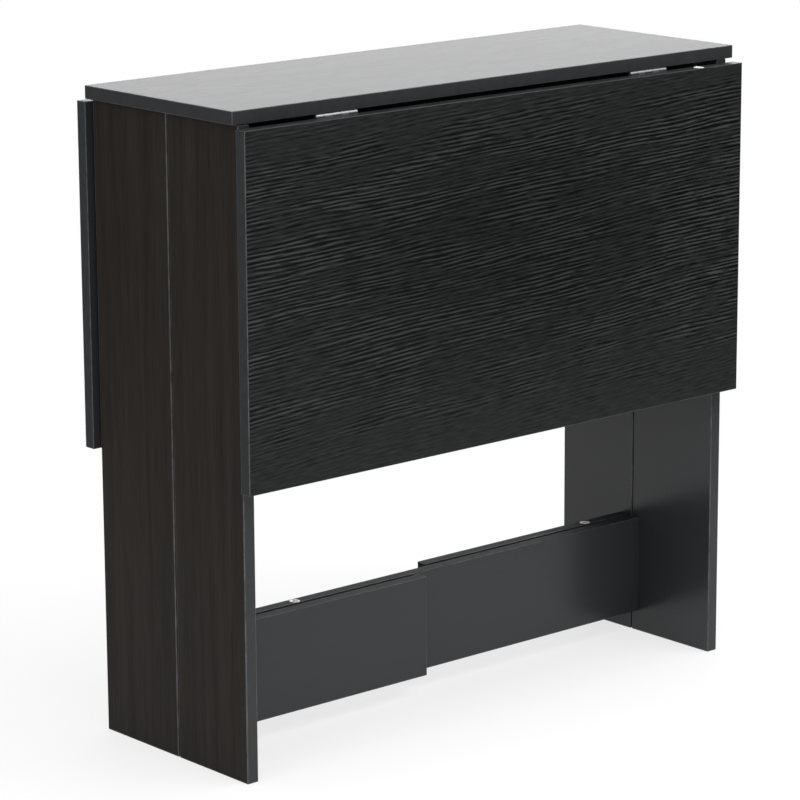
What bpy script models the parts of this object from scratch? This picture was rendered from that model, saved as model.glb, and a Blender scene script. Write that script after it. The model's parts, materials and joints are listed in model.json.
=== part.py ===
"""Drop-leaf table with two gate legs, closed: both leaves hang and both gates are shut.

Metres, +Z up. The origin is on the floor under the middle of the top. +X runs along the top
and -Y is the front. The rear half is the front half turned half a turn about the vertical.
"""

import collections
import math

import bmesh
import bpy
from mathutils import Matrix, Vector

# Fits
FIT = 0.0003
EDGE_RADIUS = 0.0008
EDGE_STEPS = 2

# Top and leaves
TABLE_HEIGHT = 0.740
TOP_LENGTH = 0.750
TOP_WIDTH = 0.258
TOP_BOARD = 0.015
LEAF_LENGTH = 0.746
LEAF_DEPTH = 0.392
LEAF_JOINT_GAP = 0.001

# End panels, each split into a fixed half and a gate half
PANEL_BOARD = 0.015
PANEL_OVERHANG = 0.009
PANEL_SETBACK = 0.002
SEAM_OFFSET = 0.005
SEAM_GAP = 0.002
GATE_CLEARANCE = 0.0007

# Rails
RAIL_BOARD = 0.015
RAIL_LIFT = 0.026
LOWER_RAIL_HEIGHT = 0.120
UPPER_RAIL_HEIGHT = 0.070
RAIL_GAP = 0.005
GATE_RAIL_END = 0.017

# Butt hinges between the top and the leaves
LEAF_HINGE_FROM_END = 0.139
LEAF_HINGE_LENGTH = 0.057
LEAF_HINGE_REACH = 0.024
LEAF_HINGE_PLATE = 0.0014
LEAF_KNUCKLE_RADIUS = 0.0025
LEAF_KNUCKLES = 5
LEAF_PIN_RADIUS = 0.0012

# Butt hinges between the centre rails and the gate rails
GATE_HINGE_LENGTH = 0.050
GATE_HINGE_REACH = 0.024
GATE_HINGE_PLATE = 0.0012
GATE_KNUCKLES = 3
GATE_PIN_RADIUS = 0.0010

# Screw holes in hinge plates and brackets
SCREW_HOLE_RADIUS = 0.0018
SCREW_HOLES = 3

# Angle brackets between the fixed panels and the top
BRACKET_LEG = 0.025
BRACKET_WIDTH = 0.016
BRACKET_METAL = 0.0016
BRACKET_FROM_EDGE = 0.028
BRACKET_SPACING = 0.066
BRACKETS = 2

# Round cam locks sunk in board edges
CAM_RADIUS = 0.0062
CAM_DEPTH = 0.011
CAM_CHAMFER = 0.0005
CAM_RECESS_LENGTH = 0.0066
CAM_RECESS_WIDTH = 0.0014
CAM_RECESS_DEPTH = 0.0016
LEAF_CAM_FROM_END = 0.065
GATE_CAM_FROM_PANEL = 0.067
CENTER_CAM_FROM_PANEL = 0.158

# Wooden dowels between rails and panels
DOWEL_RADIUS = 0.004
DOWEL_IN_PANEL = 0.010
DOWEL_IN_RAIL = 0.020
DOWEL_CHAMFER = 0.001
DOWEL_FROM_EDGE = 0.030

# Facets of cam locks, dowels, knuckles, and of pins and screw holes
CAM_STEPS = 20
DOWEL_STEPS = 12
KNUCKLE_STEPS = 10
SMALL_STEPS = 8

# Planes that follow from the sizes above
HALF_LENGTH = TOP_LENGTH / 2
HALF_WIDTH = TOP_WIDTH / 2
UNDERSIDE = TABLE_HEIGHT - TOP_BOARD
PANEL_OUTER = HALF_LENGTH - PANEL_OVERHANG
PANEL_INNER = PANEL_OUTER - PANEL_BOARD
PANEL_EDGE = HALF_WIDTH - PANEL_SETBACK
RAIL_END = PANEL_INNER - FIT
RAIL_FACE = RAIL_BOARD / 2
GATE_RAIL_INNER = RAIL_FACE + RAIL_GAP
GATE_RAIL_OUTER = GATE_RAIL_INNER + RAIL_BOARD
GATE_RAIL_MIDDLE = GATE_RAIL_INNER + RAIL_BOARD / 2
FIXED_SEAM = SEAM_OFFSET - SEAM_GAP / 2
GATE_SEAM = SEAM_OFFSET + SEAM_GAP / 2
FIXED_DOWEL_Y = (FIXED_SEAM - RAIL_FACE) / 2
LOWER_RAIL_TOP = RAIL_LIFT + LOWER_RAIL_HEIGHT
UPPER_RAIL_TOP = UNDERSIDE - FIT
UPPER_RAIL_BOTTOM = UPPER_RAIL_TOP - UPPER_RAIL_HEIGHT
LEAF_END = LEAF_LENGTH / 2
LEAF_HINGE_X = LEAF_END - LEAF_HINGE_FROM_END
LEAF_AXIS_Z = UNDERSIDE - FIT - LEAF_KNUCKLE_RADIUS
LEAF_INNER = HALF_WIDTH + LEAF_KNUCKLE_RADIUS + FIT
LEAF_OUTER = LEAF_INNER + TOP_BOARD
LEAF_TOP = LEAF_AXIS_Z - LEAF_JOINT_GAP
LEAF_BOTTOM = LEAF_TOP - LEAF_DEPTH
GATE_PANEL_TOP = UNDERSIDE - GATE_CLEARANCE
GATE_RAIL_TOP = LEAF_AXIS_Z - LEAF_KNUCKLE_RADIUS - GATE_CLEARANCE
GATE_KNUCKLE_RADIUS = RAIL_GAP / 2 - FIT
GATE_AXIS_X = -GATE_RAIL_END + FIT + GATE_KNUCKLE_RADIUS
GATE_AXIS_Y = -(RAIL_FACE + RAIL_GAP / 2)

X_AXIS = Vector((1, 0, 0))
Y_AXIS = Vector((0, 1, 0))
Z_AXIS = Vector((0, 0, 1))

# A carrier is an empty that pieces hang on, and the point of the front half where it stands.
Carrier = collections.namedtuple("Carrier", "empty point")

# A hinge pattern holds the sizes that both plates and the pin of one hinge share.
Hinge = collections.namedtuple("Hinge", "length reach plate radius knuckles pin_radius")

LEAF_HINGE = Hinge(
    LEAF_HINGE_LENGTH,
    LEAF_HINGE_REACH,
    LEAF_HINGE_PLATE,
    LEAF_KNUCKLE_RADIUS,
    LEAF_KNUCKLES,
    LEAF_PIN_RADIUS,
)
GATE_HINGE = Hinge(
    GATE_HINGE_LENGTH,
    GATE_HINGE_REACH,
    GATE_HINGE_PLATE,
    GATE_KNUCKLE_RADIUS,
    GATE_KNUCKLES,
    GATE_PIN_RADIUS,
)


def clear_scene():
    for thing in list(bpy.data.objects):
        bpy.data.objects.remove(thing, do_unlink=True)


def linear(channel):
    if channel <= 0.04045:
        return channel / 12.92
    return ((channel + 0.055) / 1.055) ** 2.4


def finish(name, colour, roughness, metallic=0.0):
    """A plain Principled material from an sRGB hex colour."""
    material = bpy.data.materials.new(name)
    material.use_nodes = True
    shader = material.node_tree.nodes["Principled BSDF"]
    rgb = [linear(int(colour[at : at + 2], 16) / 255) for at in (1, 3, 5)]
    shader.inputs["Base Color"].default_value = (*rgb, 1.0)
    shader.inputs["Roughness"].default_value = roughness
    shader.inputs["Metallic"].default_value = metallic
    material.diffuse_color = (*rgb, 1.0)
    return material


def carrier(name, point, turn):
    """An empty at a point of the front half, turned about the vertical to its own half."""
    empty = bpy.data.objects.new(name, None)
    bpy.context.scene.collection.objects.link(empty)
    empty.location = Matrix.Rotation(turn, 3, "Z") @ Vector(point)
    empty.rotation_euler.z = turn
    return Carrier(empty, Vector(point))


def hang(name, shape, on):
    """Turns a bmesh in the front half's coordinates into an object on its carrier."""
    bmesh.ops.translate(shape, vec=-on.point, verts=shape.verts)
    bmesh.ops.recalc_face_normals(shape, faces=shape.faces)
    mesh = bpy.data.meshes.new(name)
    shape.to_mesh(mesh)
    shape.free()
    thing = bpy.data.objects.new(name, mesh)
    bpy.context.scene.collection.objects.link(thing)
    thing.parent = on.empty
    return thing


def piece(name, shape, material, on, smooth=False):
    thing = hang(name, shape, on)
    thing.data.materials.append(material)
    if smooth:
        thing.data.shade_smooth()
        thing.data.set_sharp_from_angle(angle=math.radians(30))
    return thing


def cut(thing, name, shape, on):
    """Cuts a shape out of a piece."""
    tool = hang(f"{thing.name}_{name}", shape, on)
    tool.hide_render = True
    tool.display_type = "WIRE"
    modifier = thing.modifiers.new(name, "BOOLEAN")
    modifier.operation = "DIFFERENCE"
    modifier.solver = "EXACT"
    modifier.object = tool


def block(low, high):
    """A box between two corners."""
    shape = bmesh.new()
    bmesh.ops.create_cube(shape, size=1.0)
    low, high = Vector(low), Vector(high)
    bmesh.ops.scale(shape, vec=high - low, verts=shape.verts)
    bmesh.ops.translate(shape, vec=(low + high) / 2, verts=shape.verts)
    return shape


def board(name, low, high, material, on):
    """A board with its edges rounded."""
    shape = block(low, high)
    bmesh.ops.bevel(
        shape,
        geom=shape.edges[:],
        offset=EDGE_RADIUS,
        segments=EDGE_STEPS,
        profile=0.5,
        affect="EDGES",
    )
    return piece(name, shape, material, on)


def stand(shape, along, across, at):
    """Moves a shape made about +Z so that +Z lies along one axis and +X along another."""
    columns = (across, along.cross(across), along)
    turn = Matrix([[column[row] for column in columns] for row in range(3)])
    bmesh.ops.transform(shape, matrix=Matrix.Translation(at) @ turn.to_4x4(), verts=shape.verts)
    return shape


def turned(profile, steps):
    """A solid turned about +Z from (radius, height) points, listed upwards."""
    shape = bmesh.new()
    angles = [2 * math.pi * step / steps for step in range(steps)]
    rings = []
    for radius, height in profile:
        rings.append([shape.verts.new((radius * math.cos(a), radius * math.sin(a), height)) for a in angles])
    for lower, upper in zip(rings, rings[1:]):
        for step in range(steps):
            after = (step + 1) % steps
            shape.faces.new((lower[step], lower[after], upper[after], upper[step]))
    shape.faces.new(rings[0][::-1])
    shape.faces.new(rings[-1])
    return shape


def rod(radius, low, high, steps):
    return turned([(radius, low), (radius, high)], steps)


def chamfered_rod(radius, low, high, chamfer, steps):
    inset = radius - chamfer
    profile = [(inset, low), (radius, low + chamfer), (radius, high - chamfer), (inset, high)]
    return turned(profile, steps)


def prism(outline, low, high):
    """An outline of (x, y) points extruded along +Z."""
    shape = bmesh.new()
    floor = [shape.verts.new((x, y, low)) for x, y in outline]
    roof = [shape.verts.new((x, y, high)) for x, y in outline]
    shape.faces.new(floor[::-1])
    shape.faces.new(roof)
    for step in range(len(outline)):
        after = (step + 1) % len(outline)
        shape.faces.new((floor[step], floor[after], roof[after], roof[step]))
    return shape


def merged(shapes):
    """Several shapes that don't touch, as one cutter."""
    whole = bmesh.new()
    for shape in shapes:
        mesh = bpy.data.meshes.new("loose")
        shape.to_mesh(mesh)
        shape.free()
        whole.from_mesh(mesh)
        bpy.data.meshes.remove(mesh)
    return whole


def knuckle_outline(hinge):
    """A hinge plate seen along its pin: a flat that runs off the barrel's side along +X."""
    inner = hinge.radius - hinge.plate
    start, end = math.pi / 2, 2 * math.pi + math.asin(inner / hinge.radius)
    outline = [(hinge.reach, hinge.radius)]
    for step in range(KNUCKLE_STEPS + 1):
        angle = start + (end - start) * step / KNUCKLE_STEPS
        outline.append((hinge.radius * math.cos(angle), hinge.radius * math.sin(angle)))
    outline.append((hinge.reach, inner))
    return outline


def hinge_plate(name, hinge, own, along, away, at, material, on):
    """One plate, running off the pin towards `away`, with every second knuckle from number `own`.

    The plates of a hinge run opposite ways along the pin, so each counts from its own end.
    """
    half = hinge.length / 2
    segment = hinge.length / hinge.knuckles
    plate = stand(prism(knuckle_outline(hinge), -half, half), along, away, at)
    thing = piece(name, plate, material, on, smooth=True)
    clear = hinge.radius + FIT
    notches = []
    for number in range(1 - own, hinge.knuckles, 2):
        low = -half + segment * number - FIT / 2
        high = low + segment + FIT
        outer_low = low - hinge.radius if number == 0 else low
        outer_high = high + hinge.radius if number == hinge.knuckles - 1 else high
        notches.append(block((-2 * clear, -2 * clear, outer_low), (clear, 2 * clear, outer_high)))
    cut(thing, "notches", stand(merged(notches), along, away, at), on)
    bore = rod(hinge.pin_radius + FIT, -hinge.length, hinge.length, SMALL_STEPS)
    cut(thing, "bore", stand(bore, along, away, at), on)
    holes = []
    for number in range(SCREW_HOLES):
        height = half * (2 * number + 1 - SCREW_HOLES) / SCREW_HOLES
        middle = (hinge.reach + hinge.radius) / 2
        hole = rod(SCREW_HOLE_RADIUS, 0, 2 * hinge.radius, SMALL_STEPS)
        holes.append(stand(hole, Y_AXIS, X_AXIS, Vector((middle, 0, height))))
    cut(thing, "screw_holes", stand(merged(holes), along, away, at), on)


def hinge_pin(name, hinge, along, across, at, material, on):
    half = hinge.length / 2
    pin = chamfered_rod(hinge.pin_radius, -half, half, hinge.pin_radius / 3, SMALL_STEPS)
    piece(name, stand(pin, along, across, at), material, on, smooth=True)


def cam_lock(name, thing, at, material, on):
    """A round lock, flush in the upward edge of a board, with a cross recess."""
    seat = rod(CAM_RADIUS + FIT, -CAM_DEPTH - FIT, CAM_DEPTH, CAM_STEPS)
    cut(thing, "cam_seat", stand(seat, Z_AXIS, X_AXIS, at), on)
    profile = [(CAM_RADIUS, -CAM_DEPTH), (CAM_RADIUS, -CAM_CHAMFER), (CAM_RADIUS - CAM_CHAMFER, 0)]
    body = turned(profile, CAM_STEPS)
    lock = piece(name, stand(body, Z_AXIS, X_AXIS, at), material, on, smooth=True)
    arm, half = CAM_RECESS_LENGTH / 2, CAM_RECESS_WIDTH / 2
    corner = [(arm, -half), (arm, half), (half, half)]
    cross = [Matrix.Rotation(turn * math.pi / 2, 2) @ Vector(point) for turn in range(4) for point in corner]
    recess = prism([tuple(point) for point in cross], -CAM_RECESS_DEPTH, CAM_RECESS_DEPTH)
    cut(lock, "recess", stand(recess, Z_AXIS, X_AXIS, at), on)


def dowel(name, rail, panel, at, inward, material, on):
    """A dowel across the joint of a rail and a panel. `inward` points from the panel into the rail."""
    peg = chamfered_rod(DOWEL_RADIUS, -DOWEL_IN_PANEL, DOWEL_IN_RAIL, DOWEL_CHAMFER, DOWEL_STEPS)
    piece(name, stand(peg, inward, Y_AXIS, at), material, on, smooth=True)
    for thing in (rail, panel):
        hole = rod(DOWEL_RADIUS + FIT, -DOWEL_IN_PANEL - FIT, DOWEL_IN_RAIL + FIT, DOWEL_STEPS)
        cut(thing, f"{name}_hole", stand(hole, inward, Y_AXIS, at), on)


def bracket(name, at, material, on):
    """An angle bracket whose corner is at a point, one leg down a panel and one under the top."""
    outline = [
        (0, 0),
        (BRACKET_LEG, 0),
        (BRACKET_LEG, BRACKET_METAL),
        (BRACKET_METAL, BRACKET_METAL),
        (BRACKET_METAL, BRACKET_LEG),
        (0, BRACKET_LEG),
    ]
    half = BRACKET_WIDTH / 2
    angle = stand(prism(outline, -half, half), -Y_AXIS, -X_AXIS, at)
    thing = piece(name, angle, material, on)
    middle = (BRACKET_LEG + BRACKET_METAL) / 2
    holes = []
    for along, leg in ((X_AXIS, Z_AXIS), (Z_AXIS, X_AXIS)):
        hole = rod(SCREW_HOLE_RADIUS, -2 * BRACKET_METAL, 2 * BRACKET_METAL, SMALL_STEPS)
        holes.append(stand(hole, along, Y_AXIS, at - middle * leg))
    cut(thing, "screw_holes", merged(holes), on)


def center_rails(finishes, frame):
    """The two rails that tie the fixed panels together, one low and one under the top."""
    lower = board(
        "lower_center_rail",
        (-RAIL_END, -RAIL_FACE, RAIL_LIFT),
        (RAIL_END, RAIL_FACE, LOWER_RAIL_TOP),
        finishes["rail"],
        frame,
    )
    upper = board(
        "upper_center_rail",
        (-RAIL_END, -RAIL_FACE, UPPER_RAIL_BOTTOM),
        (RAIL_END, RAIL_FACE, UPPER_RAIL_TOP),
        finishes["rail"],
        frame,
    )
    at = Vector((CENTER_CAM_FROM_PANEL - PANEL_INNER, 0, LOWER_RAIL_TOP))
    cam_lock("center_rail_cam_lock", lower, at, finishes["zinc"], frame)
    return lower, upper


def joint_heights():
    """Where the dowels sit: two in a lower rail and one in an upper rail."""
    low = RAIL_LIFT + DOWEL_FROM_EDGE
    high = LOWER_RAIL_TOP - DOWEL_FROM_EDGE
    top = (UPPER_RAIL_BOTTOM + GATE_RAIL_TOP) / 2
    return ("lower", low), ("middle", high), ("upper", top)


def fixed_half(side, panel_name, rails, finishes, fixed):
    """A fixed half panel with its dowels and the brackets under the top."""
    panel = board(
        panel_name,
        (PANEL_INNER, -PANEL_EDGE, 0),
        (PANEL_OUTER, FIXED_SEAM, UPPER_RAIL_TOP),
        finishes["panel"],
        fixed,
    )
    lower, upper = rails
    for level, height in joint_heights():
        rail = upper if level == "upper" else lower
        at = Vector((PANEL_INNER, FIXED_DOWEL_Y, height))
        dowel(f"{side}_frame_{level}_dowel", rail, panel, at, -X_AXIS, finishes["dowel"], fixed)
    for number in range(BRACKETS):
        y = -PANEL_EDGE + BRACKET_FROM_EDGE + BRACKET_SPACING * number
        at = Vector((PANEL_INNER - FIT, y, UNDERSIDE - FIT))
        bracket(f"{side}_panel_bracket_{number + 1}", at, finishes["zinc"], fixed)


def gate(side, panel_name, finishes, fixed, swing):
    """A gate leg: half an end panel on two rails, hinged to the centre rails."""
    panel = board(
        panel_name,
        (-PANEL_OUTER, -PANEL_EDGE, 0),
        (-PANEL_INNER, -GATE_SEAM, GATE_PANEL_TOP),
        finishes["panel"],
        swing,
    )
    spans = {"lower": (RAIL_LIFT, LOWER_RAIL_TOP), "upper": (UPPER_RAIL_BOTTOM, GATE_RAIL_TOP)}
    rails = {}
    for level, (bottom, top) in spans.items():
        rails[level] = board(
            f"{side}_gate_{level}_rail",
            (-RAIL_END, -GATE_RAIL_OUTER, bottom),
            (-GATE_RAIL_END, -GATE_RAIL_INNER, top),
            finishes["rail"],
            swing,
        )
        at = Vector((GATE_AXIS_X, GATE_AXIS_Y, (bottom + top) / 2))
        name = f"{side}_gate_{level}_hinge"
        hinge_plate(f"{name}_rail_plate", GATE_HINGE, 0, -Z_AXIS, -X_AXIS, at, finishes["zinc"], fixed)
        second = GATE_KNUCKLES % 2
        hinge_plate(f"{name}_gate_plate", GATE_HINGE, second, Z_AXIS, -X_AXIS, at, finishes["zinc"], swing)
        hinge_pin(f"{name}_pin", GATE_HINGE, Z_AXIS, X_AXIS, at, finishes["zinc"], fixed)
    for level, height in joint_heights():
        rail = rails["upper" if level == "upper" else "lower"]
        at = Vector((-PANEL_INNER, -GATE_RAIL_MIDDLE, height))
        dowel(f"{side}_gate_{level}_dowel", rail, panel, at, X_AXIS, finishes["dowel"], swing)
    at = Vector((GATE_CAM_FROM_PANEL - PANEL_INNER, -GATE_RAIL_MIDDLE, LOWER_RAIL_TOP))
    cam_lock(f"{side}_gate_cam_lock", rails["lower"], at, finishes["zinc"], swing)


def leaf(side, finishes, fixed, swing):
    """A hanging leaf on two butt hinges under the long edge of the top."""
    flap = board(
        f"{side}_leaf",
        (-LEAF_END, -LEAF_OUTER, LEAF_BOTTOM),
        (LEAF_END, -LEAF_INNER, LEAF_TOP),
        finishes["top"],
        swing,
    )
    at = Vector((LEAF_END - LEAF_CAM_FROM_END, -(LEAF_INNER + LEAF_OUTER) / 2, LEAF_TOP))
    cam_lock(f"{side}_leaf_cam_lock", flap, at, finishes["zinc"], swing)
    for number, x in enumerate((-LEAF_HINGE_X, LEAF_HINGE_X), start=1):
        at = Vector((x, -HALF_WIDTH, LEAF_AXIS_Z))
        name = f"{side}_leaf_hinge_{number}"
        hinge_plate(f"{name}_top_plate", LEAF_HINGE, 0, X_AXIS, Y_AXIS, at, finishes["zinc"], fixed)
        second = LEAF_KNUCKLES % 2
        hinge_plate(f"{name}_leaf_plate", LEAF_HINGE, second, -X_AXIS, -Z_AXIS, at, finishes["zinc"], swing)
        hinge_pin(f"{name}_pin", LEAF_HINGE, X_AXIS, Y_AXIS, at, finishes["zinc"], fixed)


def build_table():
    clear_scene()
    finishes = {
        "top": finish("black_woodgrain_laminate", "#2A2C2E", 0.45),
        "panel": finish("brown_black_woodgrain_laminate", "#2B2825", 0.5),
        "rail": finish("plain_charcoal_laminate", "#3C3D3F", 0.5),
        "zinc": finish("zinc_plated_steel", "#D0D0CE", 0.3, 1.0),
        "dowel": finish("beech_dowel", "#C8A878", 0.7),
    }
    frame = carrier("frame_origin", (0, 0, 0), 0)
    board(
        "center_top",
        (-HALF_LENGTH, -HALF_WIDTH, UNDERSIDE),
        (HALF_LENGTH, HALF_WIDTH, TABLE_HEIGHT),
        finishes["top"],
        frame,
    )
    rails = center_rails(finishes, frame)
    sides = (
        ("front", 0.0, "front_right_fixed_panel", "front_left_gate_panel"),
        ("rear", math.pi, "rear_left_fixed_panel", "rear_right_gate_panel"),
    )
    for side, turn, fixed_name, gate_name in sides:
        fixed = carrier(f"{side}_half_origin", (0, 0, 0), turn)
        leaf_swing = carrier(f"{side}_leaf_axis", (0, -HALF_WIDTH, LEAF_AXIS_Z), turn)
        gate_swing = carrier(f"{side}_gate_axis", (GATE_AXIS_X, GATE_AXIS_Y, 0), turn)
        fixed_half(side, fixed_name, rails, finishes, fixed)
        gate(side, gate_name, finishes, fixed, gate_swing)
        leaf(side, finishes, fixed, leaf_swing)
    bpy.context.view_layer.update()


build_table()
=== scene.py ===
"""Looks of a folding table with two drop leaves and two gate legs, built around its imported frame.

Lengths are metres in the frame's own axes, with +Z up and the front leaf towards -Y. Boards,
hinges, locks, brackets and screws are modelled finer than the solids and ride on their bodies.
"""

import json
import math

import bmesh
import bpy
from bpy.props import FloatProperty, FloatVectorProperty, IntProperty, PointerProperty
from mathutils import Matrix, Vector


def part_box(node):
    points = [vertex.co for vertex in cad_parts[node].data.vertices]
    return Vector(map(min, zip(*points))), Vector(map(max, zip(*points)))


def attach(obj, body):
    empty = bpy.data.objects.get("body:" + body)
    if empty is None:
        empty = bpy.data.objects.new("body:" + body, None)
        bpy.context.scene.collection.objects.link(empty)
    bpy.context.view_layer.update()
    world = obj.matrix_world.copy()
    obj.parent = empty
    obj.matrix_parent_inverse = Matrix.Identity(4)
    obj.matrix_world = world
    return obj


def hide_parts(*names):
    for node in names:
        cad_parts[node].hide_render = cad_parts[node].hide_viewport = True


bl_info = {
    "name": "Drop-Leaf Table Looks",
    "version": (1, 0, 0),
    "blender": (4, 5, 0),
    "location": "View3D > Sidebar > Drop-Leaf Table",
    "description": "Dresses a packed drop-leaf table with laminated boards, hardware and a studio",
    "category": "Object",
}

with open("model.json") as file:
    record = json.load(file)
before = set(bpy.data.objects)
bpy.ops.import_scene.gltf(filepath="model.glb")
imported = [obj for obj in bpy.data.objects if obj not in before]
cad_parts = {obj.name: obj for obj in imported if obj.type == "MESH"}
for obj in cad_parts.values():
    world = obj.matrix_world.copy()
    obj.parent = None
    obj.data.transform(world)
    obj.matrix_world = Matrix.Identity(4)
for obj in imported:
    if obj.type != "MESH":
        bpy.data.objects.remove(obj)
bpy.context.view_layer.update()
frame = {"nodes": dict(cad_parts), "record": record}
BODY_OF = {node: body for body, nodes in frame["record"]["behaviour"]["bodies"].items() for node in nodes}

MM = 0.001
# The rear half is the front half turned half a turn.
SIDES = {"front": 1, "rear": -1}
LEVELS = ("lower", "upper")
# Numbers of the leaf hinges, and of the brackets, on one side
PAIR = (1, 2)
ORIGIN = Vector((0, 0, 0))
X_AXIS = Vector((1, 0, 0))
Y_AXIS = Vector((0, 1, 0))
Z_AXIS = Vector((0, 0, 1))

# Material slots of a board
SHOW_FACE, PLAIN_FACE, EDGE, ARRIS, CORE = range(5)
# Share of a face's normal from which it counts as square to an axis, or as looking up or down
SQUARE = 0.999
LEANING = 0.2

# Facets round holes, pins, screws, locks and knuckles, and across a corner or a bend
HOLE_FACETS = 32
PIN_FACETS = 20
SCREW_FACETS = 24
LOCK_FACETS = 48
KNUCKLE_FACETS = 30
CORNER_FACETS = 8
INNER_BEND_FACETS = 6
# Smooth shading breaks at edges sharper than this, in degrees
SHARP = 35

# How far a cutter stands out of the surface that it cuts, and how far one goes through a plate
CUT_OVER = 1 * MM
CUT_THROUGH = 6 * MM
# Share of a knuckle's radius that the hinge pin takes
PIN_SHARE = 0.48
# Screws: play round the head, its broken edge, the flat of the tip, the length of the point
HEAD_PLAY = 0.1 * MM
HEAD_EDGE = 0.15 * MM
TIP_FLAT = 0.1 * MM
POINT = 3 * MM
# Cross recess of a screw: its depth, then its length and slot in head radii
SCREW_CROSS_DEPTH = 0.9 * MM
SCREW_CROSS = 1.1
SCREW_SLOT = 0.26
# Cam locks: depth of the cross recess, and width of the rim in radii
LOCK_CROSS_DEPTH = 1.6 * MM
LOCK_RIM = 0.12
# Radii of a bracket's bend, in thicknesses of its metal
INNER_BEND = 0.6
OUTER_BEND = 1.6

# Studio: floor, sensor of the camera and strength of the light from all round
FLOOR_RADIUS = 14.0
FLOOR_FACETS = 96
SCREEN_FACETS = 80
SENSOR_MM = 36.0
ROUND_LIGHT = 0.7
# Each lamp's place, the point that it faces, its width and height, and its watts
SOFTBOXES = {
    "overhead_softbox": ((0.4, -0.9, 2.4), (0, 0, 0.4), 2.4, 2.4, 50),
    "back_softbox": ((2.2, 2.6, 1.6), (0, 0, 0.74), 2.2, 1.2, 33),
    "left_softbox": ((-2.6, -0.4, 1.5), (0, 0, 0.4), 1.2, 1.2, 14),
}

# Sockets of a colour Mix node
MIX_A, MIX_B, MIX_RESULT = 6, 7, 2


def srgb(code):
    """An sRGB hex colour as linear red, green and blue."""
    channels = [int(code[at : at + 2], 16) / 255 for at in (1, 3, 5)]
    return tuple(c / 12.92 if c <= 0.04045 else ((c + 0.055) / 1.055) ** 2.4 for c in channels)


def colour(name, code, description):
    """A colour property with an sRGB hex colour as its default."""
    return FloatVectorProperty(
        name=name, description=description, default=srgb(code), subtype="COLOR", min=0.0, max=1.0
    )


def length(name, default, description):
    """A length property in metres."""
    return FloatProperty(name=name, description=description, default=default, unit="LENGTH")


def angle(name, degrees, description):
    """An angle property, with its default in degrees."""
    return FloatProperty(
        name=name, description=description, default=math.radians(degrees), subtype="ANGLE", unit="ROTATION"
    )


class BoardLooks(bpy.types.PropertyGroup):
    """Sizes and colours of the laminated boards."""

    arris: length("Arris radius", 0.8 * MM, "Radius of the trimmed corners of a board")
    panel_arris: length("Panel arris radius", 1.2 * MM, "Radius of the rounder corners of an end panel")
    arris_steps: IntProperty(name="Arris steps", description="Facets across an arris", default=4, min=2)
    seat_gap: length("Seat gap", 0.6 * MM, "Gap between a cam lock and the hole it sits in")
    grain_pitch: length("Grain pitch", 4.6 * MM, "Distance between two ridges of the embossed grain")
    grain_relief: length("Grain relief", 0.05 * MM, "Depth of the embossed grain")
    grain_valley: colour("Grain valley", "#020303", "Colour between the ridges of top and leaves")
    grain_ridge: colour("Grain ridge", "#393C3B", "Colour on the ridges of top and leaves")
    print_dark: colour("Print dark", "#201D1B", "Dark streaks of the end panels")
    print_light: colour("Print light", "#2C2825", "Light streaks of the end panels")
    charcoal: colour("Charcoal", "#2E2F31", "Plain faces of rails and panels")
    edge_band: colour("Edge band", "#2D2E2F", "Strips glued on the board edges")
    # Pale corner colour: partly the scraped strip, partly a painted highlight of light caught on the rounded
    # corner
    arris_pale: colour("Pale arris", "#58595C", "Trimmed corners, where the strip is scraped thin")


class HardwareLooks(bpy.types.PropertyGroup):
    """Sizes and colours of hinges, locks, brackets, screws and dowels."""

    zinc: colour("Bright zinc", "#8C8D8F", "Plated steel of hinges, brackets and screws")
    cast_zinc: colour("Cast zinc", "#F0F0EE", "Cam locks")
    beech: colour("Beech", "#C8A878", "Dowels")
    chipboard: colour("Chipboard", "#5B4A38", "Core of the boards, seen in the lock holes")
    leaf_knuckles: IntProperty(name="Leaf hinge knuckles", description="Knuckles of a leaf hinge", default=5)
    leaf_plate: length("Leaf hinge plate", 1.4 * MM, "Sheet of a leaf hinge")
    gate_knuckles: IntProperty(name="Gate hinge knuckles", description="Knuckles of a gate hinge", default=3)
    gate_plate: length("Gate hinge plate", 1.2 * MM, "Sheet of a gate hinge")
    bracket_metal: length("Bracket metal", 1.6 * MM, "Sheet of an angle bracket")
    corner: length("Plate corner", 3.0 * MM, "Radius of the corners of hinge plates and brackets")
    screws: IntProperty(name="Screws", description="Screws in a hinge plate", default=3)
    screw_hole: length("Screw hole", 1.8 * MM, "Radius of the holes in hinge plates and brackets")
    screw_head: length("Screw head", 3.1 * MM, "Radius of a countersunk head")
    screw_length: length("Screw length", 11.0 * MM, "From the head to the tip")
    lock_recess: length("Lock recess", 8.0 * MM, "Length of the cross in a cam lock")
    lock_slot: length("Lock slot", 2.2 * MM, "Width of the cross in a cam lock")
    running_gap: length("Running gap", 0.4 * MM, "Play between knuckles, and round a pin")


class StudioLooks(bpy.types.PropertyGroup):
    """Camera, floor and felt screen."""

    azimuth: angle("Azimuth", -41.0907, "Where the camera stands round the table, from the front")
    elevation: angle("Elevation", 13.4153, "How far the camera stands above the horizon")
    roll: angle("Roll", -0.2857, "Tilt of the camera about its own axis")
    distance: length("Distance", 4.0952, "From the camera to the point it looks at")
    target: FloatVectorProperty(
        name="Target",
        description="Point that the camera looks at",
        default=(-0.0218, 0.0128, 0.3506),
        subtype="XYZ",
        unit="LENGTH",
    )
    lens: FloatProperty(
        name="Lens", description="Focal length in millimetres", default=159.4, unit="CAMERA"
    )
    floor_white: colour("Floor", "#F4F4F4", "Studio floor")
    felt: colour("Felt", "#0C0C0C", "Screen round the table that keeps its sides dark")
    screen_radius: length("Screen radius", 1.45, "Distance of the felt screen")
    screen_height: length("Screen height", 0.85, "Height of the felt screen")
    screen_gap: angle("Screen gap", 70, "Opening of the screen behind the table, which flat metal mirrors")


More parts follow.
